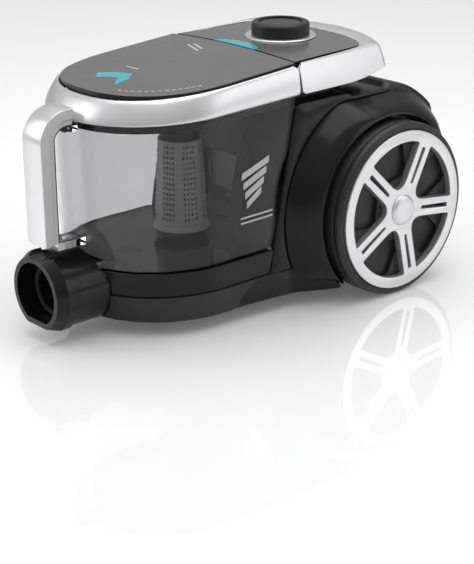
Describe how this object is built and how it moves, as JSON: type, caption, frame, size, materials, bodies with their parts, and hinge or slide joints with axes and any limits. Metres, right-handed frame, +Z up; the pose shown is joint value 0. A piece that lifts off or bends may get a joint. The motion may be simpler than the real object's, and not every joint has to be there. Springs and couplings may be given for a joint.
{
  "type": "canister vacuum cleaner",
  "caption": "Bagless canister vacuum cleaner with a clear cyclone container, lift-off lid, folding carry handle, large rear wheels and a front hose socket.",
  "frame": {"origin": "on the floor under the middle of the bounding box", "axes": "+Z up, the hose inlet faces -Y, +X is the machine's left, and X = 0 is the plane of symmetry of the casing"},
  "size_m": [0.297, 0.432, 0.261],
  "materials": {
    "gloss_black": "glossy moulded black",
    "matte_black": "fine moulded grain",
    "silver": "satin silver paint",
    "panel_grey": "glossy dark grey metallic",
    "clear_smoke": "smoky clear moulded plastic",
    "teal": "glossy teal",
    "light_grey": "satin light grey",
    "rubber": "soft black rubber",
    "tyre": "matt black soft tyre",
    "steel": "turned steel",
    "filter": "pleated filter paper and foam",
    "board": "circuit board"
  },
  "bodies": {
    "chassis": {"base_housing": "matte_black", "base_screws": "steel", "control_board": "board", "cord_outlet": "rubber", "cradle": "gloss_black", "exhaust_filter": "filter", "fan_housing": "steel", "handle_pins": "steel", "hose_inlet": "gloss_black", "inlet_collar": "gloss_black", "inlet_seal": "rubber", "knob_ring": "silver", "motor_can": "steel", "motor_filter": "filter", "motor_filter_frame": "matte_black", "motor_mount_front": "rubber", "motor_mount_rear": "rubber", "rear_housing": "gloss_black", "reel_spindle": "steel", "reel_spring_case": "matte_black", "release_springs": "steel", "top_frame": "matte_black", "top_panel": "panel_grey", "wheel_axles": "steel"},
    "wheel_left": {"tyre_left": "tyre", "rim_left": "silver", "wheel_disc_left": "matte_black", "hub_cap_left": "silver"},
    "wheel_right": {"tyre_right": "tyre", "rim_right": "silver", "wheel_disc_right": "matte_black", "hub_cap_right": "silver"},
    "caster": {"caster_fork": "matte_black", "caster_axle": "steel"},
    "caster_roller": {"caster_wheel": "rubber"},
    "handle": {"carry_handle": "silver", "handle_grip_insert": "light_grey"},
    "knob": {"power_knob": "matte_black", "knob_spindle": "steel"},
    "power_push": {"power_button": "gloss_black"},
    "release": {"release_button": "teal"},
    "latch": {"release_latch": "matte_black"},
    "container": {"dust_container": "clear_smoke", "container_handle": "silver", "container_handle_grip": "light_grey", "container_handle_strip": "rubber", "container_handle_joint": "matte_black", "outlet_frame": "matte_black"},
    "lid": {"lid_band": "silver", "lid_base": "gloss_black", "lid_panel": "panel_grey", "lid_seal": "rubber", "cyclone_cap": "matte_black", "cyclone_screen": "light_grey", "screen_skirt": "light_grey"},
    "rotor": {"motor_rotor": "steel", "impeller": "steel"},
    "reel": {"cord_reel": "matte_black"},
    "rewind": {"rewind_button": "matte_black"},
    "grille": {"exhaust_grille": "matte_black"}
  },
  "joints": [
    {"name": "wheel_left_spin", "type": "hinge", "parent": "chassis", "child": "wheel_left", "pos_m": [0.127, 0.128, 0.088], "axis": [1, 0, 0], "continuous": true},
    {"name": "wheel_right_spin", "type": "hinge", "parent": "chassis", "child": "wheel_right", "pos_m": [-0.127, 0.128, 0.088], "axis": [1, 0, 0], "continuous": true},
    {"name": "caster_swivel", "type": "hinge", "parent": "chassis", "child": "caster", "pos_m": [0, -0.105, 0.047], "axis": [0, 0, 1], "continuous": true},
    {"name": "caster_spin", "type": "hinge", "parent": "caster", "child": "caster_roller", "pos_m": [0, -0.095, 0.017], "axis": [1, 0, 0], "continuous": true},
    {"name": "carry_handle_lift", "type": "hinge", "parent": "chassis", "child": "handle", "pos_m": [0, 0.045, 0.2365], "axis": [1, 0, 0], "range_deg": [0, 80]},
    {"name": "knob_turn", "type": "hinge", "parent": "chassis", "child": "knob", "pos_m": [0, 0.093, 0.25], "axis": [0, 0, 1], "range_deg": [0, 270]},
    {"name": "power_press", "type": "slide", "parent": "knob", "child": "power_push", "axis": [0, 0, -1], "range_m": [0, 0.002], "stiffness_N_per_m": 600},
    {"name": "release_press", "type": "slide", "parent": "chassis", "child": "release", "axis": [0, 0, -1], "range_m": [0, 0.003], "stiffness_N_per_m": 700, "deforming": ["release_springs"]},
    {"name": "latch_slide", "type": "slide", "parent": "chassis", "child": "latch", "axis": [0, 1, 0], "range_m": [0, 0.003]},
    {"name": "container_lift", "type": "slide", "parent": "chassis", "child": "container", "axis": [0, 0, 1], "range_m": [0, 0.22]},
    {"name": "lid_lift", "type": "slide", "parent": "container", "child": "lid", "axis": [0, 0, 1], "range_m": [0, 0.16]},
    {"name": "rotor_spin", "type": "hinge", "parent": "chassis", "child": "rotor", "pos_m": [-0.034, 0.1, 0.105], "axis": [0, 1, 0], "continuous": true},
    {"name": "reel_spin", "type": "hinge", "parent": "chassis", "child": "reel", "pos_m": [0.054, 0.118, 0.108], "axis": [1, 0, 0], "continuous": true},
    {"name": "rewind_press", "type": "slide", "parent": "chassis", "child": "rewind", "axis": [0, -1, 0], "range_m": [0, 0.004], "stiffness_N_per_m": 500},
    {"name": "grille_open", "type": "hinge", "parent": "chassis", "child": "grille", "pos_m": [0, 0.2145, 0.0855], "axis": [-1, 0, 0], "range_deg": [0, 75]}
  ],
  "couplings": [
    {"joint": "latch_slide", "follows": "release_press", "ratio": 1}
  ]
}
